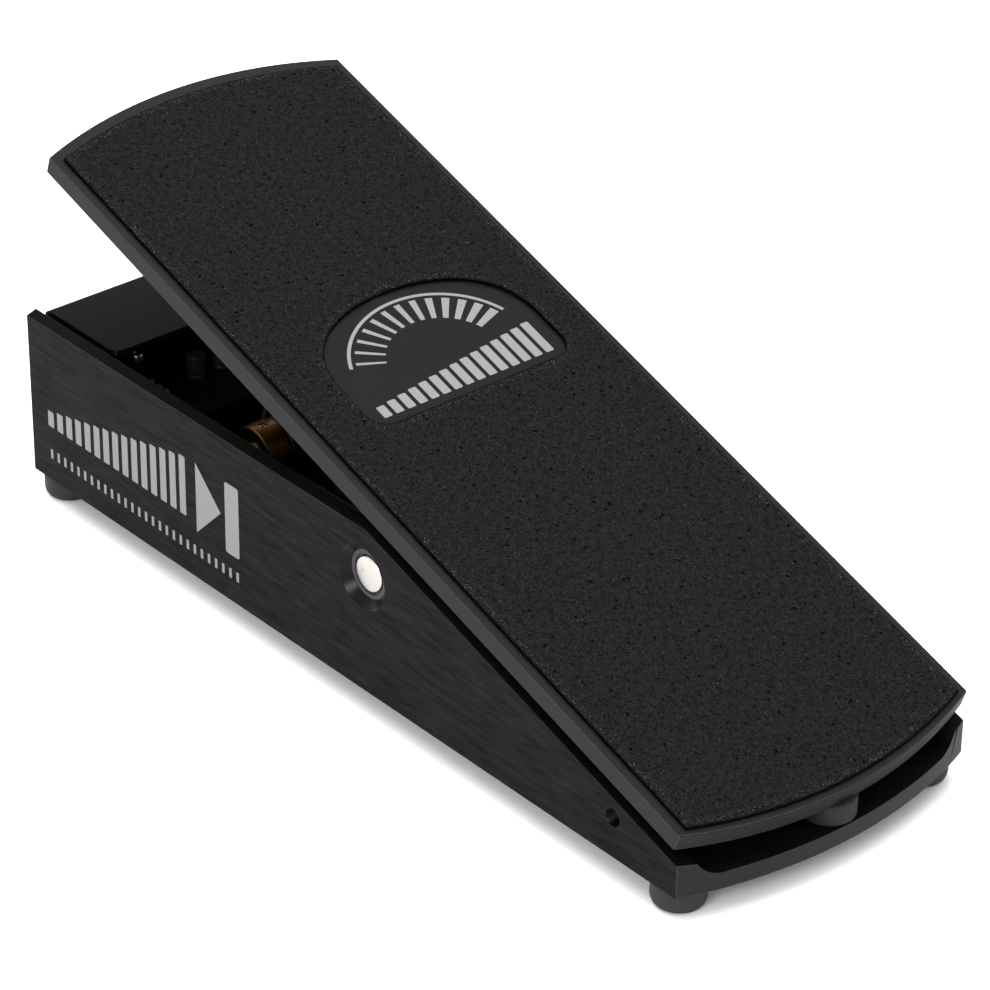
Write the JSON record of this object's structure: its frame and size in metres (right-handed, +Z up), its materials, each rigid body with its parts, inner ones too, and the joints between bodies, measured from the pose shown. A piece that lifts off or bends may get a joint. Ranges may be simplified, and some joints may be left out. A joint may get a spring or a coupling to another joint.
{
  "type": "volume pedal",
  "caption": "Foot volume pedal: a rocking treadle on a low channel housing, geared by a cord and spring to a potentiometer.",
  "frame": {"origin": "on the ground, in the middle of the pedal", "axes": "+X to the right, +Y to the toe end with the jacks, +Z up"},
  "size_m": [0.1002, 0.289, 0.1151],
  "materials": {
    "housing_black": "black anodised, brushed lengthwise",
    "cover_gloss_black": "gloss black powder coat",
    "grip_surface": "gritted non-slip sheet, matt with fine sparkle",
    "bushing_grey": "smooth grey bearing plastic",
    "foot_rubber": "moulded, matt",
    "bumper_grey_rubber": "moulded, matt",
    "block_aluminium": "extruded and machined",
    "bright_steel": "bright plated",
    "screw_black": "black oxide",
    "brass": "turned, satin",
    "board_green": "solder mask over glass fibre",
    "plastic_black": "moulded",
    "capacitor_brown": "dipped",
    "lead_red": "flat lead insulation",
    "cord_dark": "braided, waxed"
  },
  "bodies": {
    "housing": {"housing": "housing_black", "pivot_bushing_left": "bushing_grey", "pivot_bushing_right": "bushing_grey", "foot_heel_left": "foot_rubber", "foot_heel_right": "foot_rubber", "foot_toe_left": "foot_rubber", "foot_toe_right": "foot_rubber", "foot_screw_heel_left": "bright_steel", "foot_screw_heel_right": "bright_steel", "foot_screw_toe_left": "bright_steel", "foot_screw_toe_right": "bright_steel", "heel_bumper": "bumper_grey_rubber", "heel_bumper_screw": "bright_steel", "jack_bracket": "cover_gloss_black", "jack_bracket_screw_left": "bright_steel", "jack_bracket_screw_right": "bright_steel", "input_jack": "plastic_black", "input_jack_nut": "bright_steel", "output_jack": "plastic_black", "output_jack_nut": "bright_steel", "tuner_jack": "plastic_black", "tuner_jack_nut": "bright_steel", "circuit_board": "board_green", "board_standoff_rear_left": "bright_steel", "board_standoff_rear_right": "bright_steel", "board_standoff_front_left": "bright_steel", "board_standoff_front_right": "bright_steel", "board_screw_rear_left": "bright_steel", "board_screw_rear_right": "bright_steel", "board_screw_front_left": "bright_steel", "board_screw_front_right": "bright_steel", "lead_connector": "plastic_black", "board_capacitor": "capacitor_brown", "pot_bracket": "bright_steel", "pot_bracket_screw_rear": "bright_steel", "pot_bracket_screw_front": "bright_steel", "potentiometer": "bright_steel", "pot_nut": "bright_steel", "pot_washer": "bright_steel", "pot_lead": "lead_red", "spring_post": "bright_steel", "tension_spring": "bright_steel", "drive_cord": "cord_dark"},
    "treadle": {"treadle_plate": "housing_black", "grip_pad": "grip_surface", "pivot_block": "block_aluminium", "block_screw_heel_left": "screw_black", "block_screw_heel_right": "screw_black", "block_screw_toe_left": "screw_black", "block_screw_toe_right": "screw_black", "pivot_shaft": "bright_steel", "shaft_set_screw": "bright_steel", "toe_bumper_left": "foot_rubber", "toe_bumper_right": "foot_rubber", "cord_anchor": "brass"},
    "drum": {"pot_shaft": "bright_steel", "cord_drum": "brass", "drum_set_screw": "bright_steel"},
    "cord_slider": {"cord_clip": "brass"}
  },
  "joints": [
    {"name": "treadle_pivot", "type": "hinge", "parent": "housing", "child": "treadle", "pos_m": [0, -0.014, 0.0422], "axis": [-1, 0, 0], "range_deg": [0, 18.5], "deforming": ["drive_cord", "tension_spring"]},
    {"name": "drum_spin", "type": "hinge", "parent": "housing", "child": "drum", "pos_m": [0, 0.0717, 0.0297], "axis": [-1, 0, 0], "range_deg": [0, 226]},
    {"name": "clip_slide", "type": "slide", "parent": "housing", "child": "cord_slider", "axis": [0, -1, 0], "range_m": [0, 0.0278]}
  ],
  "couplings": [
    {"joint": "drum_spin", "follows": "treadle_pivot", "ratio": 12.188},
    {"joint": "clip_slide", "follows": "treadle_pivot", "m_per_rad": 0.085922}
  ]
}
